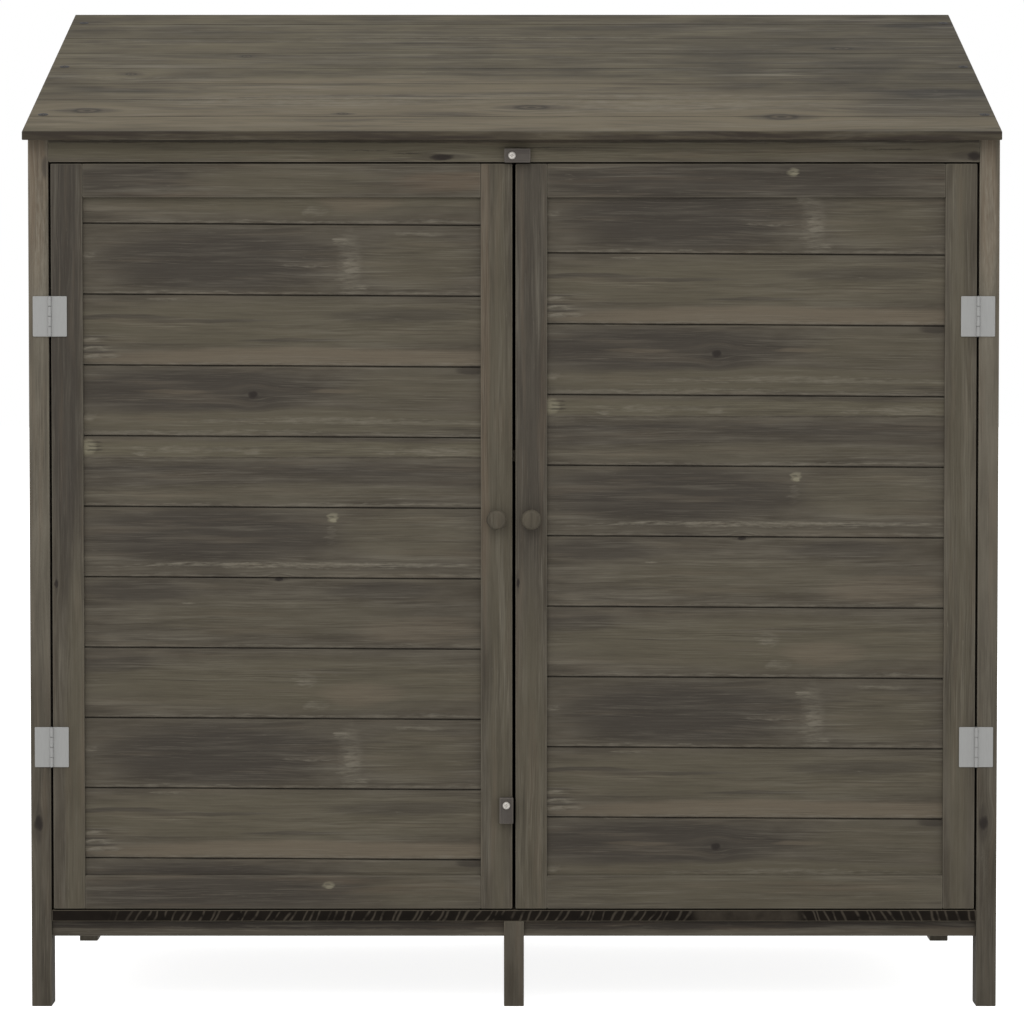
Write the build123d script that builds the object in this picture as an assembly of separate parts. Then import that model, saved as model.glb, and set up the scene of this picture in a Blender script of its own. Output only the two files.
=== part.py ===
from build123d import *
import os
from math import atan2, ceil, cos, degrees, hypot, tan

# Storage shed of stained fir: a boarded cabinet on legs, with a roof that rises to the back,
# two hinged doors and two wooden turn buttons.
# Millimetres, +Z up, +X right and +Y to the back, seen from the front.
# The origin is on the ground, under the middle of the roof.

# Roof, with its edges cut plumb
roof_width = 1015.0
roof_depth = 515.0
front_height = 914.0
rear_height = 1077.0
roof_edge_height = 9.1
roof_first_board = 62.7
roof_board_pitch = 71.1
roof_board_gap = 0.4
overhang_front = 18.0
overhang_rear = 3.0
overhang_left = 4.0
overhang_right = 0.0

# Carcass timber
post_width = 21.0
post_depth = 32.0
rail_thickness = 21.0
rail_setback = 5.0
rail_housing = 6.0
leg_height = 73.5
bottom_rail_height = 16.35
top_rail_height = 27.4
side_rail_height = 33.0
rear_rail_height = 33.0
rafter_width = 21.0
rafter_height = 33.0
foot_width = 21.0
foot_depth = 32.0

# Wall boards with tongue and groove
board_thickness = 10.0
board_pitch = 73.75
board_seam = 0.8
board_least = 15.0
tongue_height = 5.0
tongue_thickness = 3.4
tongue_clearance = 0.3
groove_depth = 9.0
groove_clearance = 0.3

# Floor and shelf
floor_thickness = 11.5
floor_board_width = 79.0
floor_board_gap = 1.0
bearer_width = 20.0
shelf_rise = 481.5
shelf_thickness = 11.5
shelf_board_width = 88.0
shelf_board_gap = 4.0
batten_width = 20.0
batten_height = 16.0
end_clearance = 0.5

# Doors
door_thickness = 21.0
stile_width = 33.0
door_rail_width = 35.0
door_gap_side = 2.4
door_gap_middle = 3.3
door_gap_end = 1.6
panel_recess = 4.5
stop_gap = 0.6
left_top_board = 27.8
right_top_board = 58.7

# Butt hinges on the front faces of post and stile
hinge_height = 42.0
leaf_width = 17.75
leaf_thickness = 1.2
knuckle_radius = 2.0
knuckle_count = 4
knuckle_gap = 0.3
pin_radius = 1.0
pin_clearance = 0.05
upper_hinge_drop = 158.7
lower_hinge_rise = 170.0
leaf_screw_spacing = 24.0

# Knobs
knob_rise = 408.4
knob_radius = 10.5
knob_neck_radius = 6.0
knob_foot_radius = 7.5
knob_length = 16.0
knob_foot_length = 3.0
knob_head_length = 9.5
knob_rounding = 4.0

# Turn buttons
button_width = 14.5
button_tail = 19.2
button_nose = 8.0
button_thickness = 9.0
button_corner = 2.5
button_edge = 1.0
button_gap = 0.3
button_clearance = 0.08
top_button_rise = 8.0
top_button_offset = -2.0
lower_button_rise = 109.5
lower_button_inset = 6.25

# Screws
screw_clearance = 0.1
leaf_screw_radius = 1.5
leaf_screw_head = 2.7
leaf_screw_length = 14.0
roof_screw_radius = 2.0
roof_screw_head = 5.5
roof_screw_length = 32.0
roof_screw_offset = 7.0
roof_screw_seam_count = 3
round_screw_radius = 2.0
round_screw_head = 4.0
round_screw_head_height = 2.4
round_screw_rounding = 1.4
button_screw_bite = 14.0
knob_screw_bite = 9.0

# Places that follow from the sizes above
left = -roof_width / 2 + overhang_left
right = roof_width / 2 - overhang_right
front = -roof_depth / 2 + overhang_front
rear = roof_depth / 2 - overhang_rear
middle = (left + right) / 2
half_opening = (right - left) / 2 - post_width
slope = atan2(rear_height - front_height, roof_depth)
slant = hypot(rear_height - front_height, roof_depth)
rail_bottom = leg_height
rail_top = rail_bottom + bottom_rail_height
floor_top = rail_top + floor_thickness
shelf_top = floor_top + shelf_rise
back_face = rear - rail_setback - board_thickness
sides = {"left": -1, "right": 1}


def under_roof(y):
    return front_height - roof_edge_height + (y + roof_depth / 2) * tan(slope)


header_bottom = under_roof(front) - top_rail_height
door_bottom = floor_top + door_gap_end
door_top = header_bottom - door_gap_end
door_inner = door_gap_middle / 2
door_outer = half_opening - door_gap_side
hinge_heights = {"upper": door_top - upper_hinge_drop, "lower": door_bottom + lower_hinge_rise}
hinge_axis_y = front - knuckle_radius
hinge_axis_reach = half_opening - door_gap_side / 2
button_front = front - button_gap - button_thickness

# Turns that point a tool's +Z out of the front and out of the back
facing_front = Rot(90, 0, 0)
facing_back = Rot(-90, 0, 0)

nodes = {}


def block(x, y, z):
    size = (max(x) - min(x), max(y) - min(y), max(z) - min(z))
    return Pos(min(x), min(y), min(z)) * Box(*size, align=(Align.MIN, Align.MIN, Align.MIN))


def reach(side, *distances):
    # Distances from the middle of the carcass, out to one side, as places along X.
    return [middle + sides[side] * distance for distance in distances]


def sloped_bar(x, y, drop_top, drop_bottom):
    # A bar along the slope of the roof, between two drops straight down from the roof's underside.
    corners = [
        (min(x), y[0], under_roof(y[0]) - drop_top),
        (min(x), y[1], under_roof(y[1]) - drop_top),
        (min(x), y[1], under_roof(y[1]) - drop_bottom),
        (min(x), y[0], under_roof(y[0]) - drop_bottom),
    ]
    return Solid.extrude(Face(Wire.make_polygon(corners)), Vector(max(x) - min(x), 0, 0))


def above_slope(drop):
    # All that lies over a plane this far straight down from the roof's underside.
    return sloped_bar((-roof_width, roof_width), (-roof_depth, roof_depth), drop, -2 * rear_height)


def group(parts):
    return Compound(children=[solid for part in parts for solid in part.solids()])


def row_edges(start, end, first, pitch, least):
    # Places of the seams from start to end: a first board, whole boards, and what is left.
    way = 1 if end > start else -1
    edges = [start, start + way * first]
    while way * (end - edges[-1]) > pitch + least:
        edges.append(edges[-1] + way * pitch)
    return edges + [end]


def countersunk_screw(radius, head, length, grow=0.0):
    # Head flush with the local XY plane, shank down -Z.
    top = (Align.CENTER, Align.CENTER, Align.MAX)
    cone = Cone(radius + grow, head + grow, head - radius, align=top)
    return cone + Cylinder(radius + grow, length + grow, align=top)


def round_screw_shank(length, grow=0.0):
    top = (Align.CENTER, Align.CENTER, Align.MAX)
    return Cylinder(round_screw_radius + grow, length + grow, align=top)


def round_screw(length):
    # Rounded head on the local XY plane, shank down -Z.
    seat = (Align.CENTER, Align.CENTER, Align.MIN)
    head = Cylinder(round_screw_head, round_screw_head_height, align=seat)
    head = fillet(head.edges().group_by(Axis.Z)[-1], round_screw_rounding)
    return head + round_screw_shank(length)


def board_section(low, high, has_groove, has_tongue):
    # Outline of one wall board's end, y across its thickness and z up.
    inner = (board_thickness - tongue_thickness) / 2
    outer = inner + tongue_thickness
    points = [(0, low)]
    if has_groove:
        groove_top = low + tongue_height - board_seam + tongue_clearance
        points += [(inner - tongue_clearance, low), (inner - tongue_clearance, groove_top)]
        points += [(outer + tongue_clearance, groove_top), (outer + tongue_clearance, low)]
    points += [(board_thickness, low), (board_thickness, high)]
    if has_tongue:
        points += [(outer, high), (outer, high + tongue_height)]
        points += [(inner, high + tongue_height), (inner, high)]
    return points + [(0, high)]


def wall_boards(length, edges):
    # Boards from the top edge down, along +X from the local origin, with their face at y = 0.
    boards = []
    last = len(edges) - 2
    for row, (high, low) in enumerate(zip(edges, edges[1:])):
        high_face = high if row == 0 else high - board_seam / 2
        low_face = low if row == last else low + board_seam / 2
        points = board_section(low_face, high_face, row < last, row > 0)
        outline = Face(Wire.make_polygon([(0, y, z) for y, z in points]))
        boards.append(Solid.extrude(outline, Vector(length, 0, 0)))
    return boards


def flat_boards(x, y, z, width, gap):
    # Boards side by side from front to back, the last one cut to what is left.
    edges = row_edges(y[0], y[1], width, width + gap, board_least)
    starts = [edges[0]] + [edge + gap for edge in edges[1:-1]]
    return [block(x, pair, z) for pair in zip(starts, edges[1:])]


def roof_seams():
    edges = row_edges(0, slant, roof_first_board, roof_board_pitch, board_least)
    return [edge * cos(slope) - roof_depth / 2 for edge in edges]


def roof_screws(grow=0.0):
    # A screw into each side rail, a little behind the first seam and every third one after it.
    screw = countersunk_screw(roof_screw_radius, roof_screw_head, roof_screw_length, grow)
    screws = []
    for x in (left + post_width / 2, right - post_width / 2):
        for seam in roof_seams()[1:-1:roof_screw_seam_count]:
            y = seam + roof_screw_offset
            screws.append(Pos(x, y, under_roof(y) + roof_edge_height) * Rot(degrees(slope), 0, 0) * screw)
    return screws


def add_roof():
    seams = roof_seams()
    holes = roof_screws(screw_clearance)
    x = (-roof_width / 2, roof_width / 2)
    boards = []
    for start, end in zip(seams, seams[1:]):
        stop = end if end == seams[-1] else end - roof_board_gap
        boards.append(sloped_bar(x, (start, stop), -roof_edge_height, 0) - holes)
    nodes["roof_boards"] = group(boards)
    nodes["roof_screws"] = group(roof_screws())
    rafter_x = (middle - rafter_width / 2, middle + rafter_width / 2)
    rafter_y = (front + rail_thickness, rear - rail_thickness)
    nodes["roof_rafter"] = sloped_bar(rafter_x, rafter_y, 0, rafter_height / cos(slope))


def carcass_rails():
    # Rails let a little way into the posts at both ends.
    overhead = above_slope(0)
    across = reach("left", half_opening + rail_housing) + reach("right", half_opening + rail_housing)
    along = (front + post_depth - rail_housing, rear - post_depth + rail_housing)
    low = (rail_bottom, rail_top)
    front_low = front + rail_setback
    rear_low = rear - rail_setback
    front_band = (front, front + rail_thickness)
    rear_band = (rear - rail_thickness, rear)
    rear_underside = under_roof(rear - rail_thickness) - rear_rail_height
    rails = {
        "front_top_rail": block(across, front_band, (header_bottom, rear_height)) - overhead,
        "rear_top_rail": block(across, rear_band, (rear_underside, rear_height)) - overhead,
        "front_bottom_rail": block(across, (front_low, front_low + rail_thickness), low),
        "rear_bottom_rail": block(across, (rear_low - rail_thickness, rear_low), low),
    }
    for side in sides:
        full = reach(side, half_opening, half_opening + post_width)
        set_back = reach(side, half_opening, half_opening + post_width - rail_setback)
        rails[f"{side}_top_rail"] = sloped_bar(full, along, 0, side_rail_height / cos(slope))
        rails[f"{side}_bottom_rail"] = block(set_back, along, low)
    return rails


def add_posts_and_rails():
    rails = carcass_rails()
    overhead = above_slope(0)
    upright = (0, rear_height)
    boarded = (rail_top, rear_height)
    for side, sign in sides.items():
        x = reach(side, half_opening, half_opening + post_width)
        outer = half_opening + post_width - rail_setback + groove_clearance
        inner = half_opening + post_width - rail_setback - board_thickness - groove_clearance
        groove_y = (front + post_depth - groove_depth, rear - post_depth + groove_depth)
        side_groove = block(reach(side, inner, outer), groove_y, boarded)
        back_y = (back_face - groove_clearance, rear - rail_setback + groove_clearance)
        back_groove = block(reach(side, half_opening, half_opening + groove_depth), back_y, boarded)
        cuts = list(rails.values()) + roof_screws(screw_clearance) + [overhead, side_groove]
        front_post = block(x, (front, front + post_depth), upright) - cuts
        rear_post = block(x, (rear - post_depth, rear), upright) - cuts - back_groove
        nodes[f"front_{side}_post"] = front_post - leaf_screws(side, sign, screw_clearance)
        nodes[f"rear_{side}_post"] = rear_post
    for side in sides:
        rails[f"{side}_top_rail"] -= roof_screws(screw_clearance)
    rails["front_top_rail"] -= top_button_place() * facing_front * button_screw_hole()
    nodes.update(rails)


def add_feet():
    # Centre feet, notched round the bottom rails.
    x = (middle - foot_width / 2, middle + foot_width / 2)
    upright = (0, rail_top)
    front_foot = block(x, (front, front + foot_depth), upright)
    rear_foot = block(x, (rear - foot_depth, rear), upright)
    nodes["front_centre_foot"] = front_foot - nodes["front_bottom_rail"]
    nodes["rear_centre_foot"] = rear_foot - nodes["rear_bottom_rail"]


def add_walls():
    length = rear - front - 2 * post_depth + 2 * (groove_depth - groove_clearance)
    start = front + post_depth - groove_depth + groove_clearance
    trim = above_slope(side_rail_height / cos(slope))
    rows = ceil((under_roof(rear) - rail_top) / board_pitch)
    edges = [rail_top + board_pitch * row for row in range(rows, -1, -1)]
    places = {
        "left": Pos(left + rail_setback, start + length, 0) * Rot(0, 0, -90),
        "right": Pos(right - rail_setback, start, 0) * Rot(0, 0, 90),
    }
    for side, place in places.items():
        nodes[f"{side}_side_boards"] = group([place * board - trim for board in wall_boards(length, edges)])
    width = 2 * (half_opening + groove_depth - groove_clearance)
    top = under_roof(rear - rail_thickness) - rear_rail_height
    edges = row_edges(top, rail_top, board_pitch, board_pitch, board_least)
    place = Pos(middle + width / 2, rear - rail_setback, 0) * Rot(0, 0, 180)
    nodes["back_boards"] = group([place * board for board in wall_boards(width, edges)])


def add_floor_and_shelf():
    x = reach("left", half_opening - end_clearance) + reach("right", half_opening - end_clearance)
    floor_y = (front, back_face - end_clearance)
    floor_z = (rail_top, floor_top)
    nodes["floor_boards"] = group(flat_boards(x, floor_y, floor_z, floor_board_width, floor_board_gap))
    bearer_y = (front + rail_setback + rail_thickness, rear - rail_setback - rail_thickness)
    outer = half_opening - bearer_width / 2
    bearers = []
    for x_middle in (middle - outer, middle, middle + outer):
        bearer_x = (x_middle - bearer_width / 2, x_middle + bearer_width / 2)
        bearer = block(bearer_x, bearer_y, (rail_bottom, rail_top))
        bearers.append(bearer - nodes["front_centre_foot"] - nodes["rear_centre_foot"])
    nodes["floor_bearers"] = group(bearers)
    shelf_y = (front + door_thickness + stop_gap, back_face - end_clearance)
    shelf_z = (shelf_top - shelf_thickness, shelf_top)
    nodes["shelf_boards"] = group(flat_boards(x, shelf_y, shelf_z, shelf_board_width, shelf_board_gap))
    batten_z = (shelf_z[0] - batten_height, shelf_z[0])
    battens = []
    for side in sides:
        batten_x = reach(side, half_opening, half_opening - batten_width)
        battens.append(block(batten_x, shelf_y, batten_z))
    nodes["shelf_battens"] = group(battens)


def hinge_leaf(toward, first_knuckle):
    # One leaf of a butt hinge, its pin along Z at the local origin, lying against y = knuckle_radius.
    step = hinge_height / knuckle_count
    bottom = -hinge_height / 2
    start = knuckle_radius + knuckle_gap
    plate_y = (knuckle_radius - leaf_thickness, knuckle_radius)
    leaf = block((toward * start, toward * leaf_width), plate_y, (bottom, -bottom))
    for row in range(first_knuckle, knuckle_count, 2):
        low = bottom + step * row + knuckle_gap / 2
        high = bottom + step * (row + 1) - knuckle_gap / 2
        leaf += Pos(0, 0, (low + high) / 2) * Cylinder(knuckle_radius, high - low)
        leaf += block((0, toward * start), plate_y, (low, high))
    leaf -= Cylinder(pin_radius + pin_clearance, 2 * hinge_height)
    for place in leaf_screw_places(toward):
        leaf -= place * leaf_screw(screw_clearance)
    return leaf


def leaf_screw(grow=0.0):
    return facing_front * countersunk_screw(leaf_screw_radius, leaf_screw_head, leaf_screw_length, grow)


def leaf_screw_places(toward):
    x = toward * (leaf_width + knuckle_radius) / 2
    half = leaf_screw_spacing / 2
    return [Pos(x, knuckle_radius - leaf_thickness, rise) for rise in (-half, half)]


def hinge_places(side):
    x = reach(side, hinge_axis_reach)[0]
    return {level: Pos(x, hinge_axis_y, z) for level, z in hinge_heights.items()}


def leaf_screws(side, toward, grow=0.0):
    places = [hinge * place for hinge in hinge_places(side).values() for place in leaf_screw_places(toward)]
    return [place * leaf_screw(grow) for place in places]


def add_hinges(side):
    outward = sides[side]
    places = hinge_places(side)
    for level, place in places.items():
        nodes[f"{level}_{side}_post_leaf"] = place * hinge_leaf(outward, 0)
        nodes[f"{level}_{side}_door_leaf"] = place * hinge_leaf(-outward, 1)
    pin = Cylinder(pin_radius, hinge_height)
    nodes[f"{side}_hinge_pins"] = group([place * pin for place in places.values()])
    nodes[f"{side}_post_leaf_screws"] = group(leaf_screws(side, outward))
    nodes[f"{side}_door_leaf_screws"] = group(leaf_screws(side, -outward))


def knob():
    # A turned knob that stands up +Z from its seat.
    neck_top = knob_length - knob_head_length
    points = [
        (0, 0),
        (knob_foot_radius, 0),
        (knob_foot_radius, knob_foot_length),
        (knob_neck_radius, knob_foot_length),
        (knob_neck_radius, neck_top),
        (knob_radius, neck_top),
        (knob_radius, knob_length),
        (0, knob_length),
    ]
    outline = Face(Wire.make_polygon([(radius, 0, z) for radius, z in points]))
    turned = revolve(outline, Axis.Z)
    rims = turned.edges().filter_by(GeomType.CIRCLE).sort_by(SortBy.RADIUS)[-2:]
    return fillet(rims, knob_rounding)


def knob_place(side):
    x = reach(side, door_inner + stile_width / 2)[0]
    return Pos(x, front, door_bottom + knob_rise)


def add_knob(side):
    behind = knob_place(side) * Pos(0, door_thickness, 0) * facing_back
    hole = behind * round_screw_shank(door_thickness + knob_screw_bite, screw_clearance)
    nodes[f"{side}_door_lock_stile"] -= hole
    nodes[f"{side}_knob"] = knob_place(side) * facing_front * knob() - hole
    nodes[f"{side}_knob_screw"] = behind * round_screw(door_thickness + knob_screw_bite)


def add_door(side, first_board):
    depth = (front, front + door_thickness)
    panel = (front + panel_recess, front + panel_recess + board_thickness)
    slot = (panel[0] - groove_clearance, panel[1] + groove_clearance)
    upright = (door_bottom, door_top)
    inner_edge = door_inner + stile_width
    outer_edge = door_outer - stile_width
    lock_stile = block(reach(side, door_inner, inner_edge), depth, upright)
    hinge_stile = block(reach(side, outer_edge, door_outer), depth, upright)
    lock_stile -= block(reach(side, inner_edge - groove_depth, inner_edge), slot, upright)
    hinge_stile -= block(reach(side, outer_edge, outer_edge + groove_depth), slot, upright)
    nodes[f"{side}_door_lock_stile"] = lock_stile
    nodes[f"{side}_door_hinge_stile"] = hinge_stile - leaf_screws(side, -sides[side], screw_clearance)
    tongue = groove_depth - groove_clearance
    rail_x = reach(side, inner_edge, outer_edge)
    panel_x = reach(side, inner_edge - tongue, outer_edge + tongue)
    low = (door_bottom, door_bottom + door_rail_width)
    high = (door_top - door_rail_width, door_top)
    low_rail = block(rail_x, depth, low) + block(panel_x, panel, low)
    high_rail = block(rail_x, depth, high) + block(panel_x, panel, high)
    nodes[f"{side}_door_bottom_rail"] = low_rail - block(panel_x, slot, (low[1] - groove_depth, low[1]))
    nodes[f"{side}_door_top_rail"] = high_rail - block(panel_x, slot, (high[0], high[0] + groove_depth))
    edges = row_edges(high[0] + tongue, low[1] - tongue, tongue + first_board, board_pitch, board_least)
    boards = wall_boards(max(panel_x) - min(panel_x), edges)
    nodes[f"{side}_door_boards"] = group([Pos(min(panel_x), panel[0], 0) * board for board in boards])


def turn_button():
    # A block that hangs from its screw at the local origin, with its front at y = 0.
    outline = RectangleRounded(button_width, button_tail + button_nose, button_corner)
    body = extrude(Plane.XZ * Pos(0, (button_nose - button_tail) / 2) * outline, -button_thickness)
    body = chamfer(body.edges().group_by(Axis.Y)[0], button_edge)
    return body - facing_front * Cylinder(round_screw_radius + button_clearance, 4 * button_thickness)


def top_button_place():
    return Pos(middle + top_button_offset, button_front, door_top + top_button_rise)


def lower_button_place():
    x = reach("left", door_inner + lower_button_inset)[0]
    return Pos(x, button_front, door_bottom + lower_button_rise)


def button_screw_hole():
    return round_screw_shank(button_thickness + button_gap + button_screw_bite, screw_clearance)


def add_turn_buttons():
    # At rest both are turned out of the way: the upper one lies level, the lower one hangs.
    screw = Pos(0, 0, button_gap) * round_screw(button_thickness + 2 * button_gap + button_screw_bite)
    level = Rot(0, -90, 0)
    nodes["top_button"] = top_button_place() * level * turn_button()
    nodes["top_button_screw"] = top_button_place() * facing_front * screw
    nodes["lower_button"] = lower_button_place() * turn_button()
    nodes["lower_button_screw"] = lower_button_place() * facing_front * screw
    nodes["left_door_lock_stile"] -= lower_button_place() * facing_front * button_screw_hole()


add_roof()
add_posts_and_rails()
add_feet()
add_walls()
add_floor_and_shelf()
for side, first_board in {"left": left_top_board, "right": right_top_board}.items():
    add_door(side, first_board)
    add_knob(side)
    add_hinges(side)
add_turn_buttons()

os.makedirs("parts", exist_ok=True)
for name, part in nodes.items():
    export_step(part, f"parts/{name}.step")
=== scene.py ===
import math
import random
from functools import partial
import bmesh
import bpy
import numpy as np
from mathutils import Matrix, Vector


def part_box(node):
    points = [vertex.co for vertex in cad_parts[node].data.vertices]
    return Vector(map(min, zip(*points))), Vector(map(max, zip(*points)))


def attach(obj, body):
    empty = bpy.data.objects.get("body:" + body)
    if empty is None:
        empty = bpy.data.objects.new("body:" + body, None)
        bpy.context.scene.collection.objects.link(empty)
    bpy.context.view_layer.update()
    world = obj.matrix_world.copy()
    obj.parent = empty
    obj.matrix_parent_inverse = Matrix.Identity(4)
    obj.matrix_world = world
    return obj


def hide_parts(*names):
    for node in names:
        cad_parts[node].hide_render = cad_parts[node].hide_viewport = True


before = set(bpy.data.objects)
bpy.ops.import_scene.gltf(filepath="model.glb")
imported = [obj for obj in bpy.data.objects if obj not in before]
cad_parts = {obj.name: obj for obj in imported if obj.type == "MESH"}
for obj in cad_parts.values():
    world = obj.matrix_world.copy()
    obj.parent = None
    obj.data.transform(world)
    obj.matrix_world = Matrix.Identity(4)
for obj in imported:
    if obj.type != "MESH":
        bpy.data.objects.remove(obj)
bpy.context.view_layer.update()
print("frame loaded", len(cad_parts), "nodes")

mm = 0.001
sides = ("left", "right")


def linear(hexText):
    channels = [int(hexText[i:i + 2], 16) / 255 for i in (1, 3, 5)]
    return [c / 12.92 if c <= 0.04045 else ((c + 0.055) / 1.055) ** 2.4 for c in channels] + [1.0]


# Adds a node with its settings, values and links, and gives one output, or all of them when out is None.
# A kind without the word Node is a shader node, and a word after the kind is its operation.
def addNode(tree, kind, inputs=(), out=0, **settings):
    kind, *operation = kind.split()
    node = tree.nodes.new(kind if "Node" in kind else "ShaderNode" + kind)
    for name, value in settings.items():
        setattr(node, name, value)
    for word in operation:
        node.operation = word
    for socket, value in dict(inputs).items():
        if isinstance(value, bpy.types.NodeSocket):
            tree.links.new(value, node.inputs[socket])
        else:
            node.inputs[socket].default_value = value
    return node.outputs if out is None or len(node.outputs) == 0 else node.outputs[out]


mixColours = {"out": "Result", "data_type": "RGBA"}  # makes a mix node one for colours


# A node group with named inputs and one result, each with its kind of socket
def newGroup(name, kind, inputs, result):
    tree = bpy.data.node_groups.new(name, kind)
    for way, sockets in (("INPUT", inputs), ("OUTPUT", result)):
        for socket, socketKind in sockets.items():
            tree.interface.new_socket(socket, in_out=way, socket_type="NodeSocket" + socketKind)
    add = partial(addNode, tree)
    return tree, add, add("NodeGroupInput", out=None)


def newMaterial(name):
    material = bpy.data.materials.new(name)
    material.use_nodes = True
    material.node_tree.nodes.clear()
    return material, partial(addNode, material.node_tree)


# The two colours of a mix, by their names in a look
def between(look, low, high):
    return {"A": linear(look[low]), "B": linear(look[high])}


# Scales that make a pattern some sizes large, in millimetres
def perSize(*sizes):
    return [1 / (size * mm) for size in sizes]


def oval(along, across, *reach):
    return {"Centre": (along * mm, across * mm, 0), "Reach": perSize(*reach) + [0]}


# The way from an oval's centre, and the square of its length in reaches
def fromCentre(add, given):
    away = add("VectorMath SUBTRACT", {0: given["Sheet"], 1: given["Centre"]})
    scaled = add("VectorMath MULTIPLY", {0: away, 1: given["Reach"]})
    square = add("VectorMath DOT_PRODUCT", {0: scaled, 1: scaled}, "Value")
    return away, square


# Grain that runs round a knot, as a shift across the grain
def bendGroup(fade=-0.1, push=-0.75):
    inputs = {"Sheet": "Vector", "Centre": "Vector", "Reach": "Vector"}
    tree, add, given = newGroup("knotBend", "ShaderNodeTree", inputs, {"Bend": "Float"})
    away, square = fromCentre(add, given)
    fall = add("Math MULTIPLY", {0: square, 1: fade})
    fall = add("Math EXPONENT", {0: fall})
    across = add("SeparateXYZ", {0: away}, "Y")
    bend = add("Math MULTIPLY", {0: across, 1: fall})
    bend = add("Math MULTIPLY", {0: bend, 1: push})
    add("NodeGroupOutput", {"Bend": bend})
    return tree


# A soft oval of colour laid over a colour, for stains and knots, and for the marks of painted shade and
# painted highlight
def markGroup():
    inputs = {"Colour": "Color", "Stain": "Color", "Sheet": "Vector", "Centre": "Vector", "Reach": "Vector",
              "Amount": "Float"}
    tree, add, given = newGroup("stainMark", "ShaderNodeTree", inputs, {"Colour": "Color"})
    square = fromCentre(add, given)[1]
    inside = add("MapRange", {"Value": square, "From Min": 1.0, "From Max": 0.2},
                 interpolation_type="SMOOTHSTEP")
    factor = add("Math MULTIPLY", {0: inside, 1: given["Amount"]})
    mixed = add("Mix", {"Factor": factor, "A": given["Colour"], "B": given["Stain"]}, **mixColours)
    add("NodeGroupOutput", {"Colour": mixed})
    return tree


bendTree = bendGroup()
markTree = markGroup()


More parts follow.
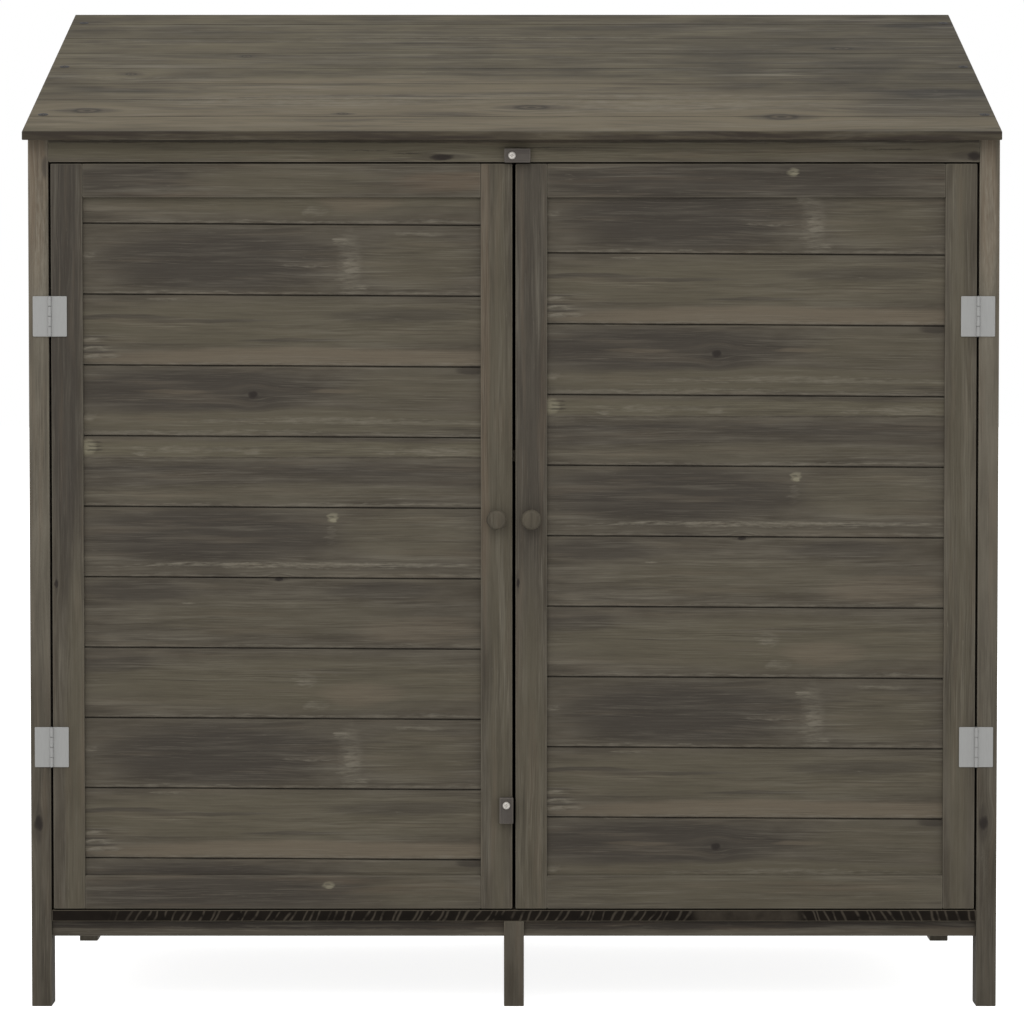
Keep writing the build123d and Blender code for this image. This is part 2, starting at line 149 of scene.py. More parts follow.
# Weathered stained fir: planed and matt, grey-brown with olive and purple casts, fine streaks along the
# grain, dark knots and pale worn spots. The plank attribute is metres along, across and through the grain.
def weatheredFir(name, look):
    material, add = newMaterial(name)
    plank = add("Attribute", out="Vector", attribute_name="plank")
    slow = add("VectorMath MULTIPLY", {0: plank, 1: look["wavesPerMetre"]})
    waver = add("TexNoise", {"Vector": slow, "Scale": 1.0, "Detail": 2.0}, "Fac")
    sway = add("Math MULTIPLY_ADD", {0: waver, 1: look["waver"] * mm, 2: -0.5 * look["waver"] * mm})
    for knot in look["knots"]:
        bend = add("Group", {"Sheet": plank, **oval(*knot)}, node_tree=bendTree)
        sway = add("Math", {0: sway, 1: bend})
    shift = add("CombineXYZ", {"Y": sway})
    bent = add("VectorMath", {0: plank, 1: shift})

    # layers of noise by their size in millimetres along and across the grain, and their detail
    layers = {}
    for layer, source, sizeAlong, sizeAcross, detail in (
        ("patch", plank, 90, 20, 3.0),
        ("cast", bent, 190, 13, 3.0),
        ("band", bent, 190, 8, 3.0),
        ("streak", bent, 150, 2.6, 4.0),
        ("fibre", bent, 40, 0.9, 2.0),
        ("worn", bent, 16, 2.6, 3.0),
    ):
        sizes = (sizeAlong, sizeAcross * look["coarse"], look["sizeThrough"])
        stretched = add("VectorMath MULTIPLY", {0: source, 1: perSize(*sizes)})
        values = {"Vector": stretched, "Scale": 1.0, "Detail": detail, "Roughness": 0.6}
        layers[layer] = add("TexNoise", values, None)
    patch = add("MapRange", {"Value": layers["patch"]["Fac"], "From Min": 0.34, "From Max": 0.66})
    colour = add("Mix", {"Factor": patch, **between(look, "dark", "light")}, **mixColours)

    def stained(colour, kind, sheet, amount, place):
        values = {"Colour": colour, "Stain": linear(look[kind]), "Sheet": sheet, "Amount": amount}
        return add("Group", {**values, **oval(*place)}, node_tree=markTree)

    # stains, worn spots, painted shade and painted highlights at their places, on sheets that noise pulls
    # about to make the outlines ragged
    sheets = {}
    for sheet, layer, source, pull in (
        ("ragged", "patch", bent, (40 * mm, 8 * mm, 0)),
        ("frayed", "worn", bent, (26 * mm, 7 * mm, 0)),
        ("tilted", "worn", plank, (9 * mm, 4 * mm, 0)),
    ):
        stray = add("VectorMath SUBTRACT", {0: layers[layer]["Color"], 1: (0.5, 0.5, 0.5)})
        sheets[sheet] = add("VectorMath MULTIPLY_ADD", {0: stray, 1: pull, 2: source})
    broken = add("MapRange", {"Value": layers["worn"]["Fac"], "From Min": 0.36, "From Max": 0.64})
    sheetOf = {"cream": "tilted", "knot": "tilted", "pale": "frayed"}
    for kind, *place, amount in look["marks"]:
        if kind == "pale":
            amount = add("Math MULTIPLY", {0: broken, 1: amount})
        colour = stained(colour, kind, sheets[sheetOf.get(kind, "ragged")], amount, place)

    # grain over the stains, stronger in some places than in others
    green = add("SeparateColor", {0: layers["cast"]["Color"]}, "Green")
    lively = add("MapRange",
                 {"Value": green, "From Min": 0.38, "From Max": 0.62, "To Min": 0.25, "To Max": 1.0})
    for layer, start, end, amount, kind in (
        ("cast", 0.52, 0.72, look["warmth"], "warm"),
        ("band", 0.53, 0.72, look["bands"], "grain"),
        ("band", 0.46, 0.28, look["bands"] * 0.7, "pale"),
        ("streak", 0.53, 0.74, look["streaks"], "grain"),
        ("streak", 0.45, 0.28, look["streaks"] * 0.55, "pale"),
        ("fibre", 0.5, 0.75, look["fibres"], "grain"),
        ("fibre", 0.46, 0.25, look["fibres"] * 0.7, "pale"),
        ("worn", 0.64, 0.8, look["wear"], "pale"),
    ):
        values = {"Value": layers[layer]["Fac"], "From Min": start, "From Max": end, "To Max": amount}
        factor = add("MapRange", values)
        if layer != "cast":
            factor = add("Math MULTIPLY", {0: factor, 1: lively})
        colour = add("Mix", {"Factor": factor, "A": colour, "B": linear(look[kind])}, **mixColours)

    # eased edges in the rim colour: pale on the frame, painted shade on the panel and roof boards, a painted
    # highlight on the buttons' rims; then cut faces and knots
    streak, fibre = layers["streak"]["Fac"], layers["fibre"]["Fac"]
    for face, amount, kind in (("eased", look["edge"], "rim"), ("cut", look["cut"], "sawn")):
        marked = add("Attribute", out="Fac", attribute_name=face)
        values = {"From Min": 0.4, "From Max": 0.58, "To Min": amount * 0.4, "To Max": amount}
        uneven = add("MapRange", {"Value": streak, **values})
        factor = add("Math MULTIPLY", {0: marked, 1: uneven})
        colour = add("Mix", {"Factor": factor, "A": colour, "B": linear(look[kind])}, **mixColours)
    for along, across, reachAlong, reachAcross in look["knots"]:
        for kind, longer, wider, amount in look["knotLayers"]:
            place = (along, across, longer * reachAlong, wider * reachAcross)
            colour = stained(colour, kind, sheets["tilted"], amount, place)

    tone = add("Attribute", out="Fac", attribute_name="tone")
    colour = add("VectorMath SCALE", {0: colour, "Scale": tone})
    height = add("Math", {0: streak, 1: fibre})
    bump = add("Bump", {"Height": height, "Strength": look["bump"], "Distance": 0.4 * mm})
    rough = add("MapRange", {"Value": streak, "To Min": 0.68, "To Max": 0.86})
    values = {"Base Color": colour, "Roughness": rough, "Normal": bump, "Specular IOR Level": 0.2}
    add("OutputMaterial", {"Surface": add("BsdfPrincipled", values)})
    return material


# Rough sawn fir: the floor's front edge, dark with pale slanted strokes from the saw, which pause at a knot
def sawnFir(name, look):
    material, add = newMaterial(name)
    where = add("TexCoord", out="Object")
    part = add("SeparateXYZ", {0: where}, None)
    lean = add("MapRange",
               {"Value": part["X"], "From Min": look["turn"][0], "From Max": look["turn"][1],
                "To Min": look["leans"][0], "To Max": look["leans"][1]})
    slant = add("Math MULTIPLY_ADD", {0: part["Z"], 1: lean, 2: part["X"]})
    wobble = add("TexNoise", {"Vector": where, "Scale": 1 / (look["wobbleSize"] * mm), "Detail": 1.0}, "Fac")
    slant = add("Math MULTIPLY_ADD", {0: wobble, 1: look["wobble"] * mm, 2: slant})
    cells = add("TexVoronoi",
                {"W": slant, "Scale": 1 / (look["spacing"] * mm), "Randomness": look["uneven"]},
                "Distance", voronoi_dimensions="1D")
    grit = add("TexNoise", {"Vector": where, "Scale": 1 / (look["gritSize"] * mm), "Detail": 4.0}, "Fac")
    fromKnot = add("Math SUBTRACT", {0: part["X"], 1: look["knotX"]})
    fromKnot = add("Math ABSOLUTE", {0: fromKnot})

    # strokes where the saw bit, from where it began and away from the knot
    masks = []
    for value, (start, end) in ((cells, look["line"]), (grit, look["bite"]), (part["X"], look["begin"]),
                                (fromKnot, look["knotReach"])):
        masks.append(add("MapRange", {"Value": value, "From Min": start, "From Max": end}))
    factor, pause = masks[0], masks[-1]
    for mask in masks[1:]:
        factor = add("Math MULTIPLY", {0: factor, 1: mask})
    base = add("Mix", {"Factor": grit, **between(look, "dark", "light")}, **mixColours)
    knotty = add("Mix", {"Factor": grit, **between(look, "knotDark", "knotLight")}, **mixColours)
    base = add("Mix", {"Factor": pause, "A": knotty, "B": base}, **mixColours)
    strokes = add("Mix", {"Factor": factor, "A": base, "B": linear(look["stroke"])}, **mixColours)

    # the planed faces, and the strokes on the cut ones
    plank = add("Attribute", out="Vector", attribute_name="plank")
    fine = add("VectorMath MULTIPLY", {0: plank, 1: look["grainPerMetre"]})
    grain = add("TexNoise", {"Vector": fine, "Scale": 1.0, "Detail": 4.0}, "Fac")
    face = add("Mix", {"Factor": grain, **between(look, "planed", "pale")}, **mixColours)
    cut = add("Attribute", out="Fac", attribute_name="cut")
    colour = add("Mix", {"Factor": cut, "A": face, "B": strokes}, **mixColours)
    bump = add("Bump", {"Height": factor, "Strength": 0.4, "Distance": 0.4 * mm})
    values = {"Base Color": colour, "Roughness": 0.85, "Normal": bump, "Specular IOR Level": 0.05}
    add("OutputMaterial", {"Surface": add("BsdfPrincipled", values)})
    return material


# Plated or coated steel: satin, with a faint mottle drawn out upwards
def platedSteel(name, look, mottleSize=(1.2, 1.2, 12), unevenGloss=0.08):
    material, add = newMaterial(name)
    where = add("TexCoord", out="Object")
    brushed = add("VectorMath MULTIPLY", {0: where, 1: perSize(*mottleSize)})
    mottle = add("TexNoise", {"Vector": brushed, "Scale": 1.0, "Detail": 3.0}, "Fac")
    colour = add("Mix", {"Factor": mottle, **between(look, "low", "high")}, **mixColours)
    values = {"Value": mottle, "To Min": look["rough"] - unevenGloss, "To Max": look["rough"] + unevenGloss}
    rough = add("MapRange", values)
    values = {"Base Color": colour, "Metallic": look["metal"], "Roughness": rough}
    add("OutputMaterial", {"Surface": add("BsdfPrincipled", values)})
    return material


# Colours and strengths of the wood. A mark is its colour, a stain on most marks and painted shade or a
# painted highlight on a few, its place and reach along and across the grain in millimetres, and its amount.
# A knot is a place and a reach, in layers of stain, longer, wider and amount.
fir = {"dark": "#4a443a", "light": "#5d574c", "deep": "#3f3a34", "olive": "#5e5849", "warm": "#695c4d",
       "grain": "#38332d", "pale": "#7d776a", "cream": "#98927c", "knot": "#2b2622", "sawn": "#3d362f",
       "rim": "#7d776a", "warmth": 0.35, "bands": 0.6, "streaks": 0.65, "fibres": 0.5, "wear": 0.35,
       "edge": 0.3, "cut": 0.0, "bump": 0.25, "waver": 7.0, "wavesPerMetre": (6, 16, 9), "coarse": 1.0,
       "sizeThrough": 8, "knots": (), "marks": (),
       "knotLayers": (("grain", 3.2, 1.2, 0.45), ("knot", 1.15, 1.15, 0.95), ("knot", 0.7, 0.7, 0.9))}

# The seven boards of a door panel on one sheet, each a board's width below the last
boardPitch = 73.75 * mm
sheetRows = 7
panelMarks = [
    ("deep", 140, 37, 150, 42, 0.85), ("olive", 350, 40, 70, 36, 0.6), ("pale", 278, 40, 16, 40, 0.45),
    ("pale", 270, 18, 10, 6, 0.7), ("pale", 280, 45, 11, 11, 0.75), ("pale", 289, 66, 10, 5, 0.65),
    ("pale", 6, 31, 10, 4, 0.5), ("pale", 236, 43, 34, 1.4, 0.5), ("pale", 352, 10, 30, 3, 0.5),
    ("olive", 207, 104, 320, 34, 0.7), ("warm", 240, 138, 300, 12, 0.8), ("deep", 40, 97, 70, 3, 0.7),
    ("deep", 130, 100, 90, 2.2, 0.6), ("deep", 215, 121, 70, 2.4, 0.7), ("deep", 330, 96, 90, 9, 0.5),
    ("deep", 10, 117, 20, 1.6, 0.7), ("deep", 12, 125, 22, 1.6, 0.7), ("deep", 14, 132, 26, 1.6, 0.7),
    ("pale", 10, 121, 16, 2.4, 0.9), ("pale", 12, 129, 20, 2.4, 1.0), ("pale", 16, 137, 28, 3, 1.0),
    ("pale", 88, 78, 26, 1.6, 0.6),
    ("deep", 110, 173, 180, 30, 0.85), ("warm", 95, 174, 50, 2.6, 0.5), ("warm", 262, 174, 34, 2.6, 0.5),
    ("olive", 220, 206, 320, 16, 0.7), ("olive", 345, 172, 90, 28, 0.5), ("pale", 6, 201, 10, 5, 0.6),
    ("pale", 260, 205, 200, 4, 0.5), ("pale", 120, 216, 150, 2.4, 0.5), ("knot", 404, 152, 18, 6, 0.6),
    ("olive", 207, 234, 700, 11, 0.9), ("cream", 3, 232, 12, 10, 0.5), ("knot", 11, 227, 10, 1.1, 0.6),
    ("knot", 12, 231, 10, 1.1, 0.6), ("knot", 11, 235, 10, 1.1, 0.6), ("knot", 207, 243.2, 900, 0.9, 0.45),
    ("pale", 372, 236, 50, 6, 0.6), ("pale", 60, 239, 8, 3, 0.6),
    ("pale", 120, 234, 90, 4, 0.5), ("pale", 175, 238, 14, 3, 0.6), ("pale", 318, 239, 12, 3, 0.6),
    ("deep", 207, 262, 900, 17, 0.4), ("deep", 300, 256, 150, 8, 0.6), ("deep", 80, 254, 120, 3, 0.6),
    ("olive", 180, 280, 260, 12, 0.4),
    ("deep", 130, 324, 165, 38, 0.85), ("olive", 340, 325, 90, 32, 0.5), ("cream", 260, 306, 7.5, 6, 0.45),
    ("cream", 261, 308.5, 4.5, 2.2, 0.7), ("knot", 259, 305, 3.6, 1.2, 0.4), ("pale", 259, 322, 6, 14, 0.3),
    ("pale", 220, 356, 240, 3.4, 0.9),
    ("deep", 55, 383, 80, 13, 0.6), ("deep", 312, 382, 70, 12, 0.6), ("warm", 350, 424, 80, 16, 0.5),
    ("olive", 190, 410, 180, 26, 0.45), ("pale", 110, 395, 6, 1.6, 0.7),
    ("olive", 225, 480, 300, 36, 0.75), ("deep", 25, 456, 60, 15, 0.55), ("pale", 232, 475, 14, 9, 0.6),
    ("pale", 243, 502, 16, 7, 0.5), ("warm", 290, 490, 55, 16, 0.6),
]
# Painted highlight: a pale line along each board's lower edge, where the edge catches the light
for row in range(1, sheetRows + 1):
    panelMarks.append(("pale", 207, row * boardPitch / mm - 2.4, 900, 1.8, 0.45))  # painted highlight along each board's lower edge, just above the seam
# Painted shade: the dark rim colour darkens the boards' eased edges, so the seams between them read dark
panelFir = weatheredFir("weatheredFirPanel", {
    **fir, "warm": "#6e6455", "rim": "#2b2723", "edge": 0.7, "marks": panelMarks,
    "knots": [(177, 178, 6, 4), (204, 370, 4, 2)]})

# Stiles, door rails, front posts and the header side by side on one sheet
frameSheet = {"left_door_hinge_stile": 0, "left_door_lock_stile": 40, "right_door_lock_stile": 80,
              "right_door_hinge_stile": 120, "left_door_top_rail": 160, "left_door_bottom_rail": 200,
              "right_door_top_rail": 240, "right_door_bottom_rail": 280, "front_left_post": 330,
              "front_right_post": 360, "front_top_rail": 400, "front_bottom_rail": 440}
frameMarks = [
    ("deep", 640, 14, 380, 24, 0.85), ("olive", 120, 24, 330, 14, 0.5), ("warm", 600, 44, 380, 7, 0.6),
    ("olive", 400, 60, 600, 16, 0.5), ("deep", 620, 96, 400, 24, 0.6), ("olive", 100, 96, 300, 22, 0.5),
    ("olive", 420, 136, 600, 16, 0.5), ("deep", 40, 178, 80, 24, 0.65), ("olive", 220, 178, 130, 20, 0.6),
    ("warm", 385, 178, 70, 13, 0.6), ("deep", 140, 217, 190, 26, 0.75), ("cream", 255, 210, 7.5, 5, 0.45),
    ("cream", 256, 212, 4.5, 2, 0.7), ("knot", 254, 209, 3.6, 1.1, 0.4),
    ("olive", 350, 217, 80, 20, 0.5), ("deep", 190, 257, 260, 28, 0.75), ("cream", 256, 249, 7.5, 5.5, 0.45),
    ("cream", 257, 251, 4.5, 2.2, 0.7), ("knot", 255, 248, 3.6, 1.1, 0.4),
    ("olive", 220, 297, 300, 26, 0.6), ("warm", 860, 338, 130, 12, 0.6), ("pale", 790, 342, 130, 9, 0.5),
    ("deep", 876, 347, 16, 5, 0.8), ("warm", 860, 370, 130, 12, 0.6), ("pale", 790, 371, 130, 9, 0.5),
    ("olive", 400, 421, 700, 16, 0.9), ("knot", 333, 422, 26, 0.9, 0.7), ("knot", 380, 425, 30, 0.8, 0.6),
    # Painted shadow: the knot-coloured bands at 439 and 444 across darken the top of the front bottom rail
    # under the floor's front edge, and the one at 412.5 across is a painted shadow line along the header's
    # top under the roof's edge
    ("knot", 520, 419, 60, 0.9, 0.6), ("knot", 880, 421, 50, 0.9, 0.6), ("knot", 480, 439, 900, 5, 0.85),
    ("knot", 480, 444, 900, 7, 0.85), ("knot", 480, 412.5, 900, 2.2, 0.7), ("rim", 560, 341, 330, 24, 0.2),
    ("rim", 560, 371, 330, 24, 0.2),
]
frameFir = weatheredFir("weatheredFirFrame", {
    **fir, "marks": frameMarks,
    "knots": [(342, 4, 5, 1.8), (342, 83, 5, 1.8), (193, 338, 8, 5), (193, 367, 8, 5), (410, 429, 13, 3.5),
              (963, 428, 9, 5)]})
roofMarks = [
    ("warm", 507, 90, 900, 110, 0.75), ("olive", 507, 380, 900, 200, 0.4), ("knot", 500, 396, 240, 6, 0.6),
    ("deep", 435, 232, 120, 4, 0.6), ("deep", 975, 160, 90, 26, 0.8), ("deep", 985, 485, 70, 24, 0.8),
    ("deep", 150, 175, 130, 12, 0.5), ("pale", 300, 130, 260, 30, 0.5), ("pale", 700, 110, 220, 40, 0.45),
    ("deep", 800, 300, 200, 5, 0.5), ("deep", 250, 450, 200, 6, 0.4), ("knot", 50, 88, 40, 1.6, 0.7),
    ("knot", 330, 72, 24, 1.2, 0.6), ("knot", 540, 108, 44, 1.4, 0.5), ("knot", 470, 375, 130, 3, 0.5),
    ("warm", 120, 330, 220, 130, 0.2), ("pale", 180, 405, 150, 2.4, 0.6), ("deep", 190, 192, 40, 12, 0.7),
    ("pale", 420, 205, 170, 3, 0.6), ("pale", 90, 235, 90, 3, 0.6), ("deep", 640, 470, 170, 16, 0.5),
    ("deep", 930, 330, 260, 240, 0.3), ("deep", 960, 100, 120, 95, 0.6), ("pale", 560, 150, 330, 12, 0.5),
    ("deep", 330, 330, 300, 10, 0.45), ("deep", 620, 270, 260, 8, 0.45), ("pale", 480, 420, 300, 8, 0.45),
    ("knot", 955, 172, 90, 9, 0.45), ("knot", 975, 480, 60, 10, 0.4), ("warm", 400, 200, 380, 44, 0.85),
    ("deep", 110, 125, 90, 30, 0.2), ("warm", 507, 40, 900, 45, 0.65),
]
# Painted shade: the dark rim colour darkens the roof boards' eased edges, a dark line along the rounded
# front edge
roofFir = weatheredFir("weatheredFirRoof", {
    **fir, "dark": "#3b352a", "light": "#5f5846", "warm": "#6d6452", "olive": "#565040", "deep": "#2f2c26",
    "rim": "#2e2924", "edge": 0.8, "cut": 0.85, "sawn": "#2f2823", "marks": roofMarks, "bands": 0.7,
    "streaks": 0.75, "waver": 4.0,
    "coarse": 2.6,  # the roof is seen at a low angle, so its grain is drawn wider to show
    "knotLayers": (("grain", 2.6, 1.3, 0.5), ("knot", 1.15, 1.15, 0.85), ("warm", 0.75, 0.7, 0.45),
                   ("knot", 0.35, 0.4, 0.7)),
    "knots": [(91, 249, 8, 7), (59, 87, 17, 11), (212, 333, 6, 6), (528, 101, 20, 11), (790, 60, 20, 13),
              (878, 370, 13, 7), (330, 74, 6, 5)]})
sawnEdge = sawnFir("roughSawnFir", {
    "dark": "#110f0d", "light": "#26211c", "stroke": "#453f37", "knotDark": "#14110e",
    "knotLight": "#4c453c", "planed": "#4f493f", "pale": "#645d50",
    "spacing": 9.6, "uneven": 0.7, "line": (0.17, 0.05), "wobble": 14, "wobbleSize": 30,  # of the strokes
    "gritSize": 14, "bite": (0.34, 0.52), "grainPerMetre": (8, 350, 40),
    "leans": (-0.55, 0.4), "turn": (0.27, 0.3),  # the lean changes over this stretch of X, metres
    "begin": (-0.43, -0.38), "knotX": 0.2475, "knotReach": (0.05, 0.06)})
insideFir = weatheredFir("plainFirInside", {**fir, "dark": "#575146", "light": "#655e51"})
turnedFir = weatheredFir("turnedFir", {**fir, "dark": "#4b453a", "light": "#585246", "edge": 0.1})
# Painted highlight: the pale rim colour lightens the buttons' eased rims
buttonFir = weatheredFir("sandedFir", {**fir, "dark": "#4a4541", "light": "#56514c", "rim": "#77716a",
                                       "edge": 0.5, "warmth": 0.1, "bands": 0.2, "streaks": 0.3})
hingeZinc = platedSteel("zincPlatedSteel", {"low": "#949492", "high": "#a2a2a0", "rough": 0.6, "metal": 0.2})
screwZinc = platedSteel("brightZincScrew",
                        {"low": "#b9b4ad", "high": "#cac5be", "rough": 0.4, "metal": 0.35})
darkSteel = platedSteel("darkCoatedSteel", {"low": "#14110f", "high": "#1f1b18", "rough": 0.7, "metal": 0.0})
print("materials made")

# Sizes that several pieces share
roofLow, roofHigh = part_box("roof_boards")
roofRise = 163.0 / 515.0  # rise over the depth
roofEdge = 9.1 * mm  # plumb height of the roof's edge
roofLean = math.cos(math.atan(roofRise))
boardGap = 1.1 * mm
boardThick = 10 * mm
leftPost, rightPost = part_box("front_left_post"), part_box("front_right_post")
innerX = (leftPost[1].x, rightPost[0].x)
innerY = (leftPost[1].y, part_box("rear_left_post")[0].y)
alongX, alongY, alongZ, downZ = (1, 0, 0), (0, 1, 0), (0, 0, 1), (0, 0, -1)
upSlope = (0, roofLean, roofLean * roofRise)


def underRoof(y):
    return roofLow.z + (y - roofLow.y) * roofRise


# Boards side by side: a first one, whole ones and a last one, with a tongue behind each seam
def boardRowTree(tongueThick=0.34, tongueLong=0.997, noTongueUnder=0.1 * mm):
    kinds = {"Geometry": ("Geometry",), "Vector": ("Origin", "Step", "Along", "Across", "Through", "Shear"),
             "Float": ("Length", "Thickness", "First", "Pitch", "Last", "Gap", "Tongue"), "Int": ("Count",),
             "Material": ("Finish",)}
    inputs = {socket: kind for kind, sockets in kinds.items() for socket in sockets}
    tree, add, given = newGroup("boardRow", "GeometryNodeTree", inputs, {"Geometry": "Geometry"})
    index = add("GeometryNodeInputIndex")
    isFirst = add("FunctionNodeCompare EQUAL", {"A": index, "B": 0}, data_type="INT")
    lastIndex = add("Math SUBTRACT", {0: given["Count"], 1: 1.0})
    isLast = add("Math COMPARE", {0: index, 1: lastIndex, 2: 0.5})
    usual = add("GeometryNodeSwitch",
                {"Switch": isLast, "False": given["Pitch"], "True": given["Last"]}, input_type="FLOAT")
    wide = add("GeometryNodeSwitch",
               {"Switch": isFirst, "False": usual, "True": given["First"]}, input_type="FLOAT")
    before = add("Math SUBTRACT", {0: index, 1: 1.0})
    rows = add("Math MULTIPLY_ADD", {0: before, 1: given["Pitch"], 2: given["First"]})
    start = add("GeometryNodeSwitch", {"Switch": isFirst, "False": rows, "True": 0.0}, input_type="FLOAT")
    half = add("Math MULTIPLY_ADD", {0: wide, 1: 0.5, 2: start})
    faceSize = add("Math SUBTRACT", {0: wide, 1: given["Gap"]})
    thin = add("Math MULTIPLY", {0: given["Thickness"], 1: tongueThick})
    short = add("Math MULTIPLY", {0: given["Length"], 1: tongueLong})
    plain = add("Math LESS_THAN", {0: given["Tongue"], 1: noTongueUnder})
    noTongue = add("FunctionNodeBooleanMath OR", {0: isFirst, 1: plain})

    cube = add("GeometryNodeMeshCube", {"Size": (1, 1, 1)}, "Mesh")
    line = add("GeometryNodeMeshLine", {"Count": given["Count"], "Offset": (0, 0, 0)})
    joined = add("GeometryNodeJoinGeometry")
    boards = (half, (given["Length"], faceSize, given["Thickness"]))
    tongues = (start, (short, given["Tongue"], thin))
    for place, size in (boards, tongues):
        offset = add("VectorMath SCALE", {0: given["Step"], "Scale": place})
        centre = add("VectorMath", {0: given["Origin"], 1: offset})
        points = add("GeometryNodeSetPosition", {"Geometry": line, "Position": centre})
        if place is start:
            points = add("GeometryNodeDeleteGeometry", {"Geometry": points, "Selection": noTongue})
        scale = (0, 0, 0)
        for axis, measure in zip(("Along", "Across", "Through"), size):
            reach = add("VectorMath SCALE", {0: given[axis], "Scale": measure})
            scale = add("VectorMath", {0: scale, 1: reach})
        instances = add("GeometryNodeInstanceOnPoints", {"Points": points, "Instance": cube, "Scale": scale})
        tree.links.new(instances, joined.node.inputs[0])
    solid = add("GeometryNodeRealizeInstances", {"Geometry": joined})
    position = add("GeometryNodeInputPosition")
    away = add("VectorMath SUBTRACT", {0: position, 1: given["Origin"]})
    rise = add("VectorMath DOT_PRODUCT", {0: away, 1: given["Shear"]}, "Value")
    lift = add("CombineXYZ", {"Z": rise})
    leaned = add("GeometryNodeSetPosition", {"Geometry": solid, "Offset": lift})
    dressed = add("GeometryNodeSetMaterial", {"Geometry": leaned, "Material": given["Finish"]})
    add("NodeGroupOutput", {"Geometry": dressed})
    return tree


# One small part repeated at the points of a mesh
def repeatedPartTree():
    inputs = {"Geometry": "Geometry", "Part": "Object", "Turn": "Vector", "Finish": "Material"}
    tree, add, given = newGroup("repeatedPart", "GeometryNodeTree", inputs, {"Geometry": "Geometry"})
    part = add("GeometryNodeObjectInfo", {"Object": given["Part"]}, "Geometry")
    turn = add("FunctionNodeEulerToRotation", {0: given["Turn"]})
    instances = add("GeometryNodeInstanceOnPoints",
                    {"Points": given["Geometry"], "Instance": part, "Rotation": turn})
    solid = add("GeometryNodeRealizeInstances", {"Geometry": instances})
    dressed = add("GeometryNodeSetMaterial", {"Geometry": solid, "Material": given["Finish"]})
    add("NodeGroupOutput", {"Geometry": dressed})
    return tree


rowTree = boardRowTree()
repeatTree = repeatedPartTree()


def addTree(piece, tree, values):
    modifier = piece.modifiers.new(tree.name, "NODES")
    modifier.node_group = tree
    for item in tree.interface.items_tree:
        if item.in_out == "INPUT" and item.name in values:
            modifier[item.identifier] = values[item.name]


def newPiece(name):
    piece = bpy.data.objects.new(name, bpy.data.meshes.new(name))
    bpy.context.scene.collection.objects.link(piece)
    return piece


def fill(piece, shape):
    shape.to_mesh(piece.data)
    shape.free()


def ease(piece, width, fromAngle=30):
    bevel = piece.modifiers.new("easedEdges", "BEVEL")
    bevel.width = width
    bevel.segments = 2
    bevel.limit_method = "ANGLE"
    bevel.angle_limit = math.radians(fromAngle)


# Turns a piece's modifiers into its plain mesh
def settle(piece):
    graph = bpy.context.evaluated_depsgraph_get()
    mesh = bpy.data.meshes.new_from_object(piece.evaluated_get(graph))
    piece.modifiers.clear()
    piece.data = mesh
    mesh.name = piece.name


def finishPiece(piece, body, nodes):
    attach(piece, body)
    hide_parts(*nodes)


# The number of the connected part that each vertex belongs to
def islandsOf(mesh):
    edges = np.zeros(len(mesh.edges) * 2, np.int32)
    mesh.edges.foreach_get("vertices", edges)
    edges = edges.reshape(-1, 2)
    label = np.arange(len(mesh.vertices))
    while True:
        least = np.minimum(label[edges[:, 0]], label[edges[:, 1]])
        new = label.copy()
        np.minimum.at(new, edges[:, 0], least)
        np.minimum.at(new, edges[:, 1], least)
        new = new[new]
        if (new == label).all():
            return np.unique(label, return_inverse=True)[1]
        label = new


# Where a board with no place on a sheet takes its grain from, in metres: sliding over the door sheet's rows,
# or far from every mark, with each board at its own depth
grainFrom = {"slide": 0.55, "plainAlong": (2, 6), "plainAcross": (2, 9), "depthApart": 0.5}
tongueSize, tongueSlack = 8 * mm, 2 * mm  # a board no wider than both is a tongue
tongueShade = 0.3  # painted shade: the tone of a tongue down in a seam
squareFace, broadFace = 0.95, 0.9  # how nearly a face lies square to the grain, and is a broad one
flatWithin = math.radians(1)  # faces within this angle become one
timberEase = 1.0 * mm


# Gives each board its grain coordinates and tone, and marks eased edges and cut faces
def markTimber(piece, along, across, look):
    mesh = piece.data
    count = len(mesh.vertices)
    place = np.zeros(count * 3, np.float32)
    mesh.vertices.foreach_get("co", place)
    place = place.reshape(-1, 3).astype(float)
    label = islandsOf(mesh)
    axes = np.array([along, across, np.cross(along, across)], float)
    grain = place @ axes.T
    tone = np.ones(count)
    draw = random.Random(look["seed"])
    for board in range(label.max() + 1):
        own = label == board
        low, high = grain[own].min(0), grain[own].max(0)
        share = (grain[own, 0] - low[0]) / (high[0] - low[0])
        depth = grainFrom["depthApart"] * board
        if "sheet" in look:
            grain[own] -= look["sheet"]
            if "repeat" in look:
                middle = (low[1] + high[1]) / 2 - look["sheet"][1]
                grain[own, 1] -= math.floor(middle / look["repeat"]) * look["repeat"]
        elif "scatter" in look:
            start = [-draw.uniform(0, grainFrom["slide"]), draw.randrange(sheetRows) * boardPitch, depth]
            grain[own] += np.array(start) - low
        else:
            start = [draw.uniform(*grainFrom["plainAlong"]), draw.uniform(*grainFrom["plainAcross"]), depth]
            grain[own] += np.array(start) - low
        first, last = look.get("tones", (1, 1))
        tone[own] = (first + (last - first) * share) * draw.uniform(1 - look["spread"], 1 + look["spread"])
        if "shade" in look and high[1] - low[1] < tongueSize + tongueSlack:
            tone[own] *= look["shade"]
    normal = np.zeros(len(mesh.polygons) * 3, np.float32)
    mesh.polygons.foreach_get("normal", normal)
    facing = np.abs(normal.reshape(-1, 3) @ axes.T)
    eased = facing.max(1) < squareFace
    cut = ~eased & (facing[:, 2] < broadFace)
    plank = mesh.attributes.new("plank", "FLOAT_VECTOR", "POINT")
    plank.data.foreach_set("vector", grain.ravel().astype(np.float32))
    for name, domain, values in (("tone", "POINT", tone), ("eased", "FACE", eased), ("cut", "FACE", cut)):
        mesh.attributes.new(name, "FLOAT", domain).data.foreach_set("value", values.astype(np.float32))


